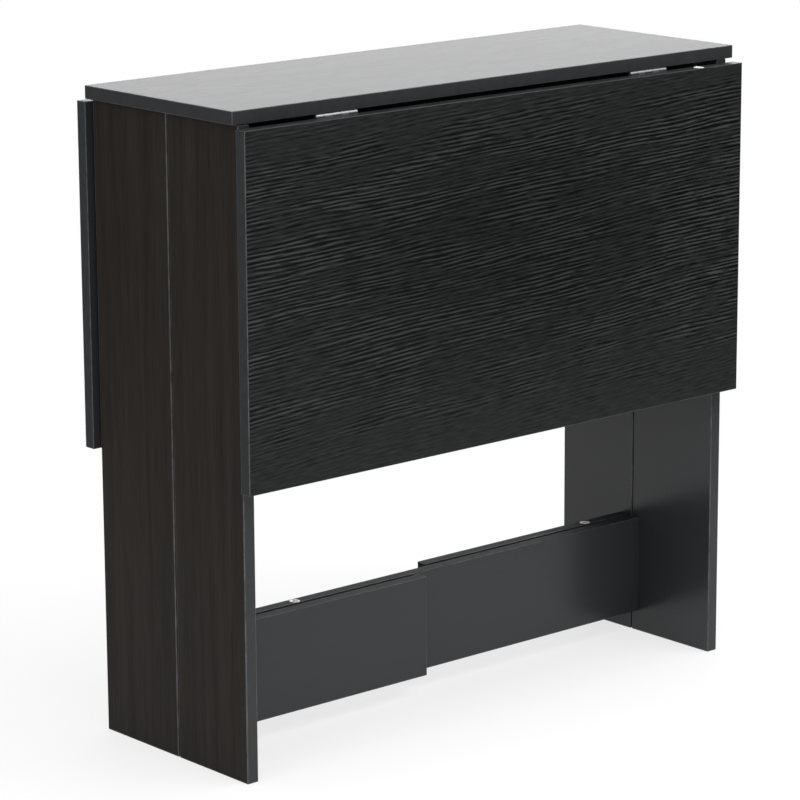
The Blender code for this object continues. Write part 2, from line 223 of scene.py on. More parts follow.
def add_node(tree, kind, inputs=None, **settings):
    """Adds a node with its settings, then sets each input or links it to a node or socket."""
    made = tree.nodes.new(kind)
    for name, value in settings.items():
        setattr(made, name, value)
    for socket, value in (inputs or {}).items():
        if isinstance(value, bpy.types.Node):
            value = value.outputs[0]
        if isinstance(value, bpy.types.NodeSocket):
            tree.links.new(value, made.inputs[socket])
        else:
            made.inputs[socket].default_value = value
    return made


def start_material(name):
    """An empty Principled material, with its tree and shader."""
    material = bpy.data.materials.new(name)
    material.use_nodes = True
    tree = material.node_tree
    return material, tree, tree.nodes["Principled BSDF"]


def per_mm(along, across, axis="X"):
    """Scales that give a pattern streaks of this many millimetres along an axis and across it."""
    return tuple(1 / ((along if letter == axis else across) * MM) for letter in "XYZ")


def opaque(rgb):
    """A colour with full alpha."""
    return (*rgb, 1.0)


def wood_grain_melamine(looks):
    """Melamine pressed against a wood-grain plate.

    Thin pale ridges lie in bundles on near-black and turn grey in a glare. As on a flat-sawn board
    the rings are bold in the middle and calm near the long edges. Painted shade darkens the middle
    of the board to 0.62 of its colour. Real fibres are too fine to show, so the finest are drawn
    1.8 mm wide.
    """
    material, tree, shader = start_material("wood_grain_melamine")
    point = add_node(tree, "ShaderNodeTexCoord")
    # Humps that are full about the middle of the board and nothing at its edges
    share = add_node(tree, "ShaderNodeSeparateXYZ", {0: point.outputs["Generated"]})
    rise = add_node(tree, "ShaderNodeMath", {0: share.outputs["Z"], 1: 1.3}, operation="POWER")
    humps = []
    for part in (share.outputs["X"], share.outputs["Y"], rise):
        swing = add_node(tree, "ShaderNodeMath", {0: part, 1: math.pi}, operation="MULTIPLY")
        humps.append(add_node(tree, "ShaderNodeMath", {0: swing}, operation="SINE"))
    centre, level, upright = humps
    middle = add_node(tree, "ShaderNodeMath", {0: upright, 1: level}, operation="MAXIMUM")
    bold = add_node(tree, "ShaderNodeMapRange", {0: middle, 2: 0.8, 3: 0.05, 4: 1.05})
    # Painted shade: the colour is scaled from 1.05 near the long edges down to 0.62 in the middle of the
    # board
    painted_shade_middle = add_node(tree, "ShaderNodeMath", {0: middle, 1: centre}, operation="MULTIPLY")
    shade = add_node(tree, "ShaderNodeMapRange", {0: painted_shade_middle, 3: 1.05, 4: 0.62})
    # Rows along the board, a little askew and swaying slowly
    axes = add_node(tree, "ShaderNodeSeparateXYZ", {0: point.outputs["Object"]})
    along = axes.outputs["X"]
    flat = add_node(tree, "ShaderNodeMath", {0: axes.outputs["Y"], 1: axes.outputs["Z"]}, operation="ADD")
    across = add_node(tree, "ShaderNodeMath", {0: along, 1: -0.05, 2: flat}, operation="MULTIPLY_ADD")
    plan = add_node(tree, "ShaderNodeCombineXYZ", {"X": along, "Y": across})
    slow = add_node(tree, "ShaderNodeVectorMath", {0: plan, 1: per_mm(380, 110)}, operation="MULTIPLY")
    sway = add_node(tree, "ShaderNodeTexNoise", {"Vector": slow, "Scale": 1.0, "Detail": 1.0})
    bent = add_node(tree, "ShaderNodeMath", {0: sway, 1: 18 * MM, 2: across}, operation="MULTIPLY_ADD")
    rows = add_node(tree, "ShaderNodeCombineXYZ", {"X": along, "Y": bent})
    # Streaks of four sizes: they crowd the ridges, bundle them, taper their ends and roughen them.
    streaks = []
    for sizes, detail in (((75, 8), 2.0), ((120, 26), 1.0), ((24, 2.6), 1.0), ((20, 1.8), 2.0)):
        drawn = add_node(tree, "ShaderNodeVectorMath", {0: rows, 1: per_mm(*sizes)}, operation="MULTIPLY")
        inputs = {"Vector": drawn, "Scale": 1.0, "Detail": detail}
        streaks.append(add_node(tree, "ShaderNodeTexNoise", inputs))
    crowd, clumps, ends, fibres = streaks
    # Ridges one pitch apart, crowded and spread by up to 5.5 mm
    turn_per_metre = 2 * math.pi / looks.grain_pitch
    place = add_node(tree, "ShaderNodeMath", {0: crowd, 1: 5.5 * MM, 2: bent}, operation="MULTIPLY_ADD")
    turn = add_node(tree, "ShaderNodeMath", {0: place, 1: turn_per_metre}, operation="MULTIPLY")
    wave = add_node(tree, "ShaderNodeMath", {0: turn}, operation="SINE")
    size = add_node(tree, "ShaderNodeMath", {0: wave}, operation="ABSOLUTE")
    rings = add_node(tree, "ShaderNodeMath", {0: wave, 1: size}, operation="MULTIPLY")
    # How far the ridges stand out, with fine fibres over them
    bundles = add_node(tree, "ShaderNodeMapRange", {0: clumps, 1: 0.42, 2: 0.62, 3: 0.3, 4: 1.45})
    taper = add_node(tree, "ShaderNodeMapRange", {0: ends, 1: 0.36, 2: 0.56, 3: 0.05, 4: 1.1})
    drift = add_node(tree, "ShaderNodeMath", {0: bundles, 1: taper}, operation="MULTIPLY")
    swell = add_node(tree, "ShaderNodeMath", {0: drift, 1: bold}, operation="MULTIPLY")
    fuzz = add_node(tree, "ShaderNodeMapRange", {0: fibres, 3: 0.17, 4: 0.83})
    ridges = add_node(tree, "ShaderNodeMath", {0: rings, 1: swell, 2: fuzz}, operation="MULTIPLY_ADD")
    height = add_node(tree, "ShaderNodeMapRange", {0: ridges, 1: 0.22, 2: 1.19})
    paint = add_node(
        tree,
        "ShaderNodeMix",
        {0: height, MIX_A: opaque(looks.grain_valley), MIX_B: opaque(looks.grain_ridge)},
        data_type="RGBA",
    )
    # Grain colour times the painted shade
    shaded_grain_paint = add_node(
        tree, "ShaderNodeVectorMath", {0: paint.outputs[MIX_RESULT], "Scale": shade}, operation="SCALE"
    )
    gloss = add_node(tree, "ShaderNodeMapRange", {0: height, 3: 0.455, 4: 0.435})
    emboss = add_node(
        tree, "ShaderNodeBump", {"Height": height, "Strength": 1.0, "Distance": looks.grain_relief}
    )
    tree.links.new(shaded_grain_paint.outputs[0], shader.inputs["Base Color"])
    tree.links.new(gloss.outputs[0], shader.inputs["Roughness"])
    tree.links.new(emboss.outputs[0], shader.inputs["Normal"])
    shader.inputs["Specular IOR Level"].default_value = 0.16
    return material


def brown_black_wood_print_melamine(looks):
    """Melamine with a printed upright grain and a matt press finish: faint warm streaks on brown-black.

    Printed pores are too fine to show and are drawn 1.6 mm wide.
    """
    material, tree, shader = start_material("brown_black_wood_print_melamine")
    point = add_node(tree, "ShaderNodeTexCoord").outputs["Object"]
    axes = add_node(tree, "ShaderNodeSeparateXYZ", {0: point})
    across = add_node(tree, "ShaderNodeMath", {0: axes.outputs["X"], 1: axes.outputs["Y"]}, operation="ADD")
    plan = add_node(tree, "ShaderNodeCombineXYZ", {"X": axes.outputs["Z"], "Y": across})
    broad = add_node(tree, "ShaderNodeVectorMath", {0: plan, 1: per_mm(420, 14)}, operation="MULTIPLY")
    bands = add_node(tree, "ShaderNodeTexNoise", {"Vector": broad, "Scale": 1.0, "Detail": 3.0})
    narrow = add_node(tree, "ShaderNodeVectorMath", {0: plan, 1: per_mm(60, 1.6)}, operation="MULTIPLY")
    pores = add_node(tree, "ShaderNodeTexNoise", {"Vector": narrow, "Scale": 1.0, "Detail": 2.0})
    grain = add_node(tree, "ShaderNodeMath", {0: bands, 1: pores}, operation="ADD")
    tone = add_node(tree, "ShaderNodeMapRange", {0: grain, 1: 0.75, 2: 1.3})
    paint = add_node(
        tree,
        "ShaderNodeMix",
        {0: tone, MIX_A: opaque(looks.print_dark), MIX_B: opaque(looks.print_light)},
        data_type="RGBA",
    )
    relief = add_node(tree, "ShaderNodeBump", {"Height": pores, "Strength": 0.5, "Distance": 0.03 * MM})
    tree.links.new(paint.outputs[MIX_RESULT], shader.inputs["Base Color"])
    tree.links.new(relief.outputs[0], shader.inputs["Normal"])
    shader.inputs["Roughness"].default_value = 0.55
    shader.inputs["Specular IOR Level"].default_value = 0.06
    return material


def charcoal_melamine(name, looks, axis):
    """Melamine from a smooth satin plate: cool grey where it mirrors the floor, with a faint grain."""
    material, tree, shader = start_material(name)
    point = add_node(tree, "ShaderNodeTexCoord").outputs["Object"]
    scales = per_mm(70, 3, axis)
    stretched = add_node(tree, "ShaderNodeVectorMath", {0: point, 1: scales}, operation="MULTIPLY")
    grain = add_node(tree, "ShaderNodeTexNoise", {"Vector": stretched, "Scale": 1.0, "Detail": 3.0})
    tone = add_node(tree, "ShaderNodeMapRange", {0: grain, 1: 0.3, 2: 0.7, 3: 0.97, 4: 1.03})
    paint = add_node(tree, "ShaderNodeVectorMath", {0: looks.charcoal, "Scale": tone}, operation="SCALE")
    gloss = add_node(tree, "ShaderNodeMapRange", {0: grain, 1: 0.3, 2: 0.7, 3: 0.255, 4: 0.265})
    relief = add_node(tree, "ShaderNodeBump", {"Height": grain, "Strength": 0.1, "Distance": 0.006 * MM})
    tree.links.new(paint.outputs[0], shader.inputs["Base Color"])
    tree.links.new(gloss.outputs[0], shader.inputs["Roughness"])
    tree.links.new(relief.outputs[0], shader.inputs["Normal"])
    shader.inputs["Specular IOR Level"].default_value = 0.32
    return material


def plain_charcoal_melamine(looks):
    """Charcoal melamine with its grain along the table: rails, leaf backs, under the top."""
    return charcoal_melamine("plain_charcoal_melamine", looks, "X")


def upright_charcoal_melamine(looks):
    """The same melamine with its grain upright: insides of the end panels."""
    return charcoal_melamine("upright_charcoal_melamine", looks, "Z")


def edge_band(name, looks, shine, rough):
    """Extruded PVC strip, glued and scraped flush: a grey-black with slight clouds from the hot glue."""
    material, tree, shader = start_material(name)
    point = add_node(tree, "ShaderNodeTexCoord").outputs["Object"]
    clouds = add_node(tree, "ShaderNodeTexNoise", {"Vector": point, "Scale": 1 / (9 * MM), "Detail": 3.0})
    tone = add_node(tree, "ShaderNodeMapRange", {0: clouds, 1: 0.3, 2: 0.7, 3: 0.9, 4: 1.12})
    paint = add_node(tree, "ShaderNodeVectorMath", {0: looks.edge_band, "Scale": tone}, operation="SCALE")
    gloss = add_node(tree, "ShaderNodeMapRange", {0: clouds, 1: 0.3, 2: 0.7, 3: rough, 4: rough + 0.1})
    tree.links.new(paint.outputs[0], shader.inputs["Base Color"])
    tree.links.new(gloss.outputs[0], shader.inputs["Roughness"])
    shader.inputs["Specular IOR Level"].default_value = shine
    return material


def satin_edge_band(looks):
    """The smooth strip on the end panels, which shines most."""
    return edge_band("satin_edge_band", looks, 0.3, 0.3)


def dull_edge_band(looks):
    """The strip on the top, leaves and rails, embossed so finely that it only looks dull."""
    return edge_band("dull_edge_band", looks, 0.1, 0.65)


def scraped_arris_with_painted_highlight(looks):
    """Corner of the PVC strip where a scraper trimmed it: stretched pale, with a painted highlight, in a
    broken line.
    """
    material, tree, shader = start_material("scraped_arris_with_painted_highlight")
    point = add_node(tree, "ShaderNodeTexCoord").outputs["Object"]
    broken_line = add_node(tree, "ShaderNodeTexNoise", {"Vector": point, "Scale": 1 / (12 * MM), "Detail": 3.0})
    # Painted highlight: the mix towards the pale colour stands partly for the scraped strip, partly for
    # light caught on the corner
    scrape_and_highlight = add_node(tree, "ShaderNodeMapRange", {0: broken_line, 1: 0.3, 2: 0.7, 3: 0.2, 4: 1.0})
    paint = add_node(
        tree,
        "ShaderNodeMix",
        {0: scrape_and_highlight, MIX_A: opaque(looks.edge_band), MIX_B: opaque(looks.arris_pale)},
        data_type="RGBA",
    )
    tree.links.new(paint.outputs[MIX_RESULT], shader.inputs["Base Color"])
    shader.inputs["Roughness"].default_value = 0.4
    shader.inputs["Specular IOR Level"].default_value = 0.3
    return material


def chipboard_core(looks):
    """Pressed wood chips, bare in the lock holes: brown flakes."""
    material, tree, shader = start_material("chipboard_core")
    point = add_node(tree, "ShaderNodeTexCoord").outputs["Object"]
    flakes = add_node(tree, "ShaderNodeTexVoronoi", {"Vector": point, "Scale": 1 / (1.5 * MM)})
    depth = flakes.outputs["Distance"]
    tone = add_node(tree, "ShaderNodeMapRange", {0: depth, 1: 0.0, 2: 0.8, 3: 0.6, 4: 1.2})
    paint = add_node(tree, "ShaderNodeVectorMath", {0: looks.chipboard, "Scale": tone}, operation="SCALE")
    tree.links.new(paint.outputs[0], shader.inputs["Base Color"])
    shader.inputs["Roughness"].default_value = 0.9
    return material


def bright_zinc_plate(looks):
    """Pressed steel with bright zinc plating: grey metal with rolling streaks and cloudy gloss.

    The streaks of rolled sheet are finer than the 0.4 mm drawn here, which is what still shows.
    """
    material, tree, shader = start_material("bright_zinc_plate")
    point = add_node(tree, "ShaderNodeTexCoord").outputs["Object"]
    scales = per_mm(17, 0.4, "Z")
    stretched = add_node(tree, "ShaderNodeVectorMath", {0: point, 1: scales}, operation="MULTIPLY")
    streaks = add_node(tree, "ShaderNodeTexNoise", {"Vector": stretched, "Scale": 1.0, "Detail": 2.0})
    gloss = add_node(tree, "ShaderNodeMapRange", {0: streaks, 1: 0.3, 2: 0.7, 3: 0.34, 4: 0.48})
    tone = add_node(tree, "ShaderNodeMapRange", {0: streaks, 1: 0.3, 2: 0.7, 3: 0.94, 4: 1.04})
    paint = add_node(tree, "ShaderNodeVectorMath", {0: looks.zinc, "Scale": tone}, operation="SCALE")
    tree.links.new(paint.outputs[0], shader.inputs["Base Color"])
    tree.links.new(gloss.outputs[0], shader.inputs["Roughness"])
    shader.inputs["Metallic"].default_value = 1.0
    return material


def die_cast_zinc(looks):
    """Die-cast zinc alloy, blasted: pale and nearly as matt as paint, with a fine orange-peel skin."""
    material, tree, shader = start_material("die_cast_zinc")
    point = add_node(tree, "ShaderNodeTexCoord").outputs["Object"]
    skin = add_node(tree, "ShaderNodeTexNoise", {"Vector": point, "Scale": 1 / (0.8 * MM), "Detail": 2.0})
    gloss = add_node(tree, "ShaderNodeMapRange", {0: skin, 1: 0.3, 2: 0.7, 3: 0.55, 4: 0.7})
    relief = add_node(tree, "ShaderNodeBump", {"Height": skin, "Strength": 0.3, "Distance": 0.05 * MM})
    tree.links.new(gloss.outputs[0], shader.inputs["Roughness"])
    tree.links.new(relief.outputs[0], shader.inputs["Normal"])
    shader.inputs["Base Color"].default_value = opaque(looks.cast_zinc)
    shader.inputs["Metallic"].default_value = 1.0
    return material


def turned_beech(looks):
    """Bare turned beech: pale straw wood with short dark flecks along the dowel."""
    material, tree, shader = start_material("turned_beech")
    point = add_node(tree, "ShaderNodeTexCoord").outputs["Object"]
    stretched = add_node(tree, "ShaderNodeVectorMath", {0: point, 1: per_mm(8, 0.7)}, operation="MULTIPLY")
    flecks = add_node(tree, "ShaderNodeTexNoise", {"Vector": stretched, "Scale": 1.0, "Detail": 3.0})
    tone = add_node(tree, "ShaderNodeMapRange", {0: flecks, 1: 0.3, 2: 0.7, 3: 0.75, 4: 1.1})
    paint = add_node(tree, "ShaderNodeVectorMath", {0: looks.beech, "Scale": tone}, operation="SCALE")
    tree.links.new(paint.outputs[0], shader.inputs["Base Color"])
    shader.inputs["Roughness"].default_value = 0.7
    return material


def finish_of(maker, looks):
    """The material that a maker makes, made once."""
    return bpy.data.materials.get(maker.__name__) or maker(looks)


def board_finishes(show_maker, plain_maker, edge_maker, boards, hardware):
    """The materials of a board in the order of its slots."""
    return [
        finish_of(show_maker, boards),
        finish_of(plain_maker, boards),
        finish_of(edge_maker, boards),
        finish_of(scraped_arris_with_painted_highlight, boards),
        finish_of(chipboard_core, hardware),
    ]


def to_mesh(shape, name, materials):
    """Turns a bmesh into a mesh with these materials."""
    mesh = bpy.data.meshes.new(name)
    shape.to_mesh(mesh)
    shape.free()
    for material in materials:
        mesh.materials.append(material)
    return mesh


def add_object(name, data):
    """A new object in the scene."""
    thing = bpy.data.objects.new(name, data)
    bpy.context.scene.collection.objects.link(thing)
    return thing


def stand_for(node, mesh, matrix=None):
    """A piece in the place of a CAD node, on the same body."""
    piece = add_object(f"{node}_{mesh.name}", mesh)
    if matrix:
        piece.matrix_world = matrix
    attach(piece, BODY_OF[node])
    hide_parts(node)


def carve(mesh, tool):
    """Cuts a tool out of a mesh with an exact Boolean and returns the result."""
    things = [add_object("carving", data) for data in (mesh, tool)]
    step = things[0].modifiers.new("carve", "BOOLEAN")
    step.operation = "DIFFERENCE"
    step.solver = "EXACT"
    step.object = things[1]
    graph = bpy.context.evaluated_depsgraph_get()
    made = bpy.data.meshes.new_from_object(things[0].evaluated_get(graph))
    name = mesh.name
    for thing in things:
        bpy.data.objects.remove(thing)
    for data in (mesh, tool):
        bpy.data.meshes.remove(data)
    made.name = name
    return made


def turned(profile, steps):
    """A bmesh turned about +Z from (radius, height) points, listed upwards."""
    shape = bmesh.new()
    turns = [2 * math.pi * step / steps for step in range(steps)]
    rings = [
        [shape.verts.new((radius * math.cos(turn), radius * math.sin(turn), height)) for turn in turns]
        for radius, height in profile
    ]
    for lower, upper in zip(rings, rings[1:]):
        for step in range(steps):
            after = (step + 1) % steps
            shape.faces.new((lower[step], lower[after], upper[after], upper[step]))
    shape.faces.new(rings[0][::-1])
    shape.faces.new(rings[-1])
    return shape


def facing(along, away, at):
    """Stands a shape made about +Z along one axis, with its +X side towards another."""
    columns = (away, along.cross(away), along)
    return Matrix.Translation(at) @ Matrix(columns).transposed().to_4x4()


def moved(shape, matrix):
    """The shape itself, moved."""
    bmesh.ops.transform(shape, matrix=matrix, verts=shape.verts)
    return shape


def merged(shapes):
    """Several shapes as one."""
    whole = bmesh.new()
    for shape in shapes:
        mesh = to_mesh(shape, "loose", [])
        whole.from_mesh(mesh)
        bpy.data.meshes.remove(mesh)
    return whole


def block(low, high):
    """A box between two corners."""
    low, high = Vector(low), Vector(high)
    shape = bmesh.new()
    bmesh.ops.create_cube(shape, size=1.0)
    bmesh.ops.scale(shape, vec=high - low, verts=shape.verts)
    bmesh.ops.translate(shape, vec=(low + high) / 2, verts=shape.verts)
    return shape


def prism(outline, low, high):
    """An outline of (x, y) points, listed anticlockwise, extruded along +Z."""
    shape = bmesh.new()
    floor = [shape.verts.new((x, y, low)) for x, y in outline]
    roof = [shape.verts.new((x, y, high)) for x, y in outline]
    shape.faces.new(floor[::-1])
    shape.faces.new(roof)
    for step in range(len(outline)):
        after = (step + 1) % len(outline)
        shape.faces.new((floor[step], floor[after], roof[after], roof[step]))
    return shape


def arc(centre, radius, start, end, steps):
    """Points of an arc between two angles in degrees."""
    turns = [math.radians(start + (end - start) * step / steps) for step in range(steps + 1)]
    return [(centre[0] + radius * math.cos(turn), centre[1] + radius * math.sin(turn)) for turn in turns]


def rounded(mesh):
    """Smooth shading with the sharp edges kept."""
    mesh.shade_smooth()
    mesh.set_sharp_from_angle(angle=math.radians(SHARP))
    return mesh


def board(node, show, finishes, looks, seats=(), arris=None, wrapped_with_painted_shade=False):
    """A laminated board in the box of a CAD node, with its show face towards a direction.

    Seats are the nodes of cam locks sunk in its upper edge. When asked, the laminate of the show face
    is rolled over the upper edge, whose darker grain also stands in for painted shade under the top.
    Arrises that look down keep the colour of the band and get no painted highlight.
    """
    low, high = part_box(node)
    size = high - low
    thin = min(range(3), key=lambda axis: size[axis])
    shape = block(low, high)
    bmesh.ops.bevel(
        shape,
        geom=shape.edges[:],
        offset=arris or looks.arris,
        segments=looks.arris_steps,
        profile=0.5,
        affect="EDGES",
    )
    for face in shape.faces:
        face.normal_update()
        square = max(abs(part) for part in face.normal) > SQUARE
        face.smooth = not square
        if wrapped_with_painted_shade and face.normal.z > LEANING:
            # Painted shade: the upper edge takes the darker grain laminate, standing in for the shade under
            # the top as well as for the laminate rolled over it
            face.material_index = SHOW_FACE
        elif not square:
            # Painted highlight: only arrises that look up or sideways take the pale corner colour
            face.material_index = EDGE if face.normal.z < -LEANING else ARRIS
        elif abs(face.normal[thin]) < SQUARE:
            face.material_index = EDGE
        elif show is not None and face.normal.dot(show) > 0:
            face.material_index = SHOW_FACE
        else:
            face.material_index = PLAIN_FACE
    mesh = to_mesh(shape, "board", finishes)
    for seat in seats:
        lock_low, lock_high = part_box(seat)
        radius = (lock_high.x - lock_low.x) / 2 + looks.seat_gap
        bottom = lock_low.z - looks.seat_gap
        hole = turned([(radius, bottom), (radius, lock_high.z + radius)], HOLE_FACETS)
        centre = (lock_low + lock_high) / 2
        bmesh.ops.translate(hole, vec=(centre.x, centre.y, 0), verts=hole.verts)
        for face in hole.faces:
            face.material_index = CORE
            face.smooth = True
        mesh = carve(mesh, to_mesh(hole, "hole", finishes))
    stand_for(node, mesh)


class TABLE_OT_top_and_leaves(bpy.types.Operator):
    """Builds the centre top and the two drop leaves"""

    bl_idname = "table.top_and_leaves"
    bl_label = "Top and Leaves"

    def execute(self, context):
        boards, hardware = context.scene.table_boards, context.scene.table_hardware
        finishes = board_finishes(
            wood_grain_melamine, plain_charcoal_melamine, dull_edge_band, boards, hardware
        )
        board("center_top", Z_AXIS, finishes, boards)
        for side, turn in SIDES.items():
            seats = [f"{side}_leaf_cam_lock"]
            board(f"{side}_leaf", -turn * Y_AXIS, finishes, boards, seats, wrapped_with_painted_shade=True)
        return {"FINISHED"}


class TABLE_OT_end_panels(bpy.types.Operator):
    """Builds the fixed and the swinging halves of the end panels"""

    bl_idname = "table.end_panels"
    bl_label = "End Panels"

    def execute(self, context):
        boards, hardware = context.scene.table_boards, context.scene.table_hardware
        finishes = board_finishes(
            brown_black_wood_print_melamine, upright_charcoal_melamine, satin_edge_band, boards, hardware
        )
        outwards = {
            "rear_left_fixed_panel": -X_AXIS,
            "front_left_gate_panel": -X_AXIS,
            "front_right_fixed_panel": X_AXIS,
            "rear_right_gate_panel": X_AXIS,
        }
        for node, show in outwards.items():
            board(node, show, finishes, boards, arris=boards.panel_arris)
        return {"FINISHED"}


class TABLE_OT_rails(bpy.types.Operator):
    """Builds the centre rails and the gate rails"""

    bl_idname = "table.rails"
    bl_label = "Rails"

    def execute(self, context):
        boards, hardware = context.scene.table_boards, context.scene.table_hardware
        finishes = board_finishes(
            plain_charcoal_melamine, plain_charcoal_melamine, dull_edge_band, boards, hardware
        )
        board("lower_center_rail", None, finishes, boards, ["center_rail_cam_lock"])
        board("upper_center_rail", None, finishes, boards)
        for side in SIDES:
            board(f"{side}_gate_lower_rail", None, finishes, boards, [f"{side}_gate_cam_lock"])
            board(f"{side}_gate_upper_rail", None, finishes, boards)
        return {"FINISHED"}


def cross(size, width):
    """Outline of a cross recess."""
    arm, half = size / 2, width / 2
    corner = [(arm, -half), (arm, half), (half, half)]
    quarters = [Matrix.Rotation(turn * math.pi / 2, 2) for turn in range(4)]
    return [tuple(quarter @ Vector(point)) for quarter in quarters for point in corner]


def corner_cutters(reach, half, radius, thickness):
    """Cuts that round the two far corners of a plate that runs from the origin along +X."""
    cutters = []
    for side in (-1, 1):
        centre = (reach - radius, side * (half - radius))
        far = (reach + radius, side * (half + radius))
        curve = arc(centre, radius, 90 * side, 0, CORNER_FACETS)
        outline = [(curve[0][0], far[1])] + curve + [(far[0], curve[-1][1]), far]
        outline = outline if side < 0 else outline[::-1]
        cutters.append(moved(prism(outline, -thickness, thickness), facing(-Y_AXIS, X_AXIS, ORIGIN)))
    return cutters


def countersink(looks):
    """Cutter for a screw hole, along +Z from the seen side of a plate at the origin."""
    wide, narrow = looks.screw_head + HEAD_PLAY, looks.screw_hole
    depth = wide - narrow
    profile = [(narrow, -CUT_THROUGH), (narrow, -depth), (wide, 0), (wide, CUT_OVER)]
    return turned(profile, SCREW_FACETS)


def hinge_plate(reach, radius, plate, length, knuckles, own, looks):
    """One plate of a butt hinge: the pin lies along +Z, the plate runs off along +X.

    Its seat is at y = radius. It has every second knuckle, from number `own`, counted upwards.
    """
    half, segment, inner = length / 2, length / knuckles, radius - plate
    meet = math.degrees(math.asin(inner / radius))
    barrel = arc((0, 0), radius, 90, 360 + meet, KNUCKLE_FACETS)
    outline = [(reach, radius)] + barrel + [(reach, inner)]
    finish = finish_of(bright_zinc_plate, looks)
    mesh = to_mesh(prism(outline, -half, half), "plate", [finish])
    # Room for the other plate's knuckles
    clear = radius + looks.running_gap
    notches = []
    for number in range(1 - own, knuckles, 2):
        low = -half + segment * number - looks.running_gap / 2
        high = low + segment + looks.running_gap
        low -= radius if number == 0 else 0
        high += radius if number == knuckles - 1 else 0
        notches.append(block((-2 * clear, -2 * clear, low), (clear, 2 * clear, high)))
    mesh = carve(mesh, to_mesh(merged(notches), "notches", [finish]))
    bore = looks.running_gap + radius * PIN_SHARE
    eye = turned([(bore, -length), (bore, length)], PIN_FACETS)
    mesh = carve(mesh, to_mesh(eye, "bore", [finish]))
    cutters = corner_cutters(reach, half, looks.corner, 2 * radius)
    for height in screw_heights(half, looks):
        at = Vector(((reach + radius) / 2, inner, height))
        cutters.append(moved(countersink(looks), facing(-Y_AXIS, X_AXIS, at)))
    mesh = carve(mesh, to_mesh(merged(cutters), "cuts", [finish]))
    return rounded(mesh)


def screw_heights(half, looks):
    """Places of the screws along a hinge plate, from its middle."""
    return [half * (2 * number + 1 - looks.screws) / looks.screws for number in range(looks.screws)]


def screw(looks):
    """A countersunk screw with a cross recess, pointing along -Z from its head at the origin."""
    shank = looks.screw_head / 2
    profile = [
        (TIP_FLAT, -looks.screw_length),
        (shank, -looks.screw_length + POINT),
        (shank, shank - looks.screw_head),
        (looks.screw_head, -HEAD_EDGE),
        (looks.screw_head - HEAD_EDGE, 0),
    ]
    finish = finish_of(bright_zinc_plate, looks)
    mesh = to_mesh(turned(profile, SCREW_FACETS), "screw", [finish])
    outline = cross(SCREW_CROSS * looks.screw_head, SCREW_SLOT * looks.screw_head)
    recess = prism(outline, -SCREW_CROSS_DEPTH, CUT_OVER)
    return rounded(carve(mesh, to_mesh(recess, "recess", [finish])))


def add_screws(name, body, places, looks):
    """One piece with a screw at each place."""
    single = screw(looks)
    whole = bmesh.new()
    for place in places:
        start = len(whole.verts)
        whole.from_mesh(single)
        whole.verts.ensure_lookup_table()
        bmesh.ops.transform(whole, matrix=place, verts=whole.verts[start:])
    bpy.data.meshes.remove(single)
    mesh = rounded(to_mesh(whole, name, [finish_of(bright_zinc_plate, looks)]))
    piece = add_object(name, mesh)
    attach(piece, body)


def support(node, direction, origin):
    """How far a node reaches from a point in a direction along an axis."""
    low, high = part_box(node)
    far = Vector([max(a * d, b * d) for a, b, d in zip(low, high, direction)])
    return sum(far) - direction.dot(origin)


def hinge(pin, plates, knuckles, metal, looks):
    """A butt hinge on a pin. Each plate is (node, along, away, own knuckle)."""
    low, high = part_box(pin)
    at = (low + high) / 2
    size = high - low
    length = max(size)
    half = length / 2
    radius = min(size) / 2
    chamfer = radius / 3
    profile = [
        (radius - chamfer, -half),
        (radius, chamfer - half),
        (radius, half - chamfer),
        (radius - chamfer, half),
    ]
    rod = rounded(to_mesh(turned(profile, PIN_FACETS), "pin", [finish_of(bright_zinc_plate, looks)]))
    stand_for(pin, rod, facing(plates[0][1], plates[0][2], at))
    for node, along, away, own in plates:
        barrel = support(node, along.cross(away), at)
        reach = support(node, away, at)
        matrix = facing(along, away, at)
        stand_for(node, hinge_plate(reach, barrel, metal, length, knuckles, own, looks), matrix)
        places = [
            matrix @ facing(-Y_AXIS, X_AXIS, Vector(((reach + barrel) / 2, barrel - metal, height)))
            for height in screw_heights(half, looks)
        ]
        add_screws(f"{node}_screws", BODY_OF[node], places, looks)


class TABLE_OT_leaf_hinges(bpy.types.Operator):
    """Builds the butt hinges under the long edges of the top"""

    bl_idname = "table.leaf_hinges"
    bl_label = "Leaf Hinges"

    def execute(self, context):
        looks = context.scene.table_hardware
        for side, turn in SIDES.items():
            for number in PAIR:
                name = f"{side}_leaf_hinge_{number}"
                plates = (
                    (f"{name}_top_plate", turn * X_AXIS, turn * Y_AXIS, 0),
                    (f"{name}_leaf_plate", -turn * X_AXIS, -Z_AXIS, looks.leaf_knuckles % 2),
                )
                hinge(f"{name}_pin", plates, looks.leaf_knuckles, looks.leaf_plate, looks)
        return {"FINISHED"}


class TABLE_OT_gate_hinges(bpy.types.Operator):
    """Builds the butt hinges between the centre rails and the gate rails"""

    bl_idname = "table.gate_hinges"
    bl_label = "Gate Hinges"

    def execute(self, context):
        looks = context.scene.table_hardware
        for side, turn in SIDES.items():
            for level in LEVELS:
                name = f"{side}_gate_{level}_hinge"
                plates = (
                    (f"{name}_rail_plate", -Z_AXIS, -turn * X_AXIS, 0),
                    (f"{name}_gate_plate", Z_AXIS, -turn * X_AXIS, looks.gate_knuckles % 2),
                )
                hinge(f"{name}_pin", plates, looks.gate_knuckles, looks.gate_plate, looks)
        return {"FINISHED"}


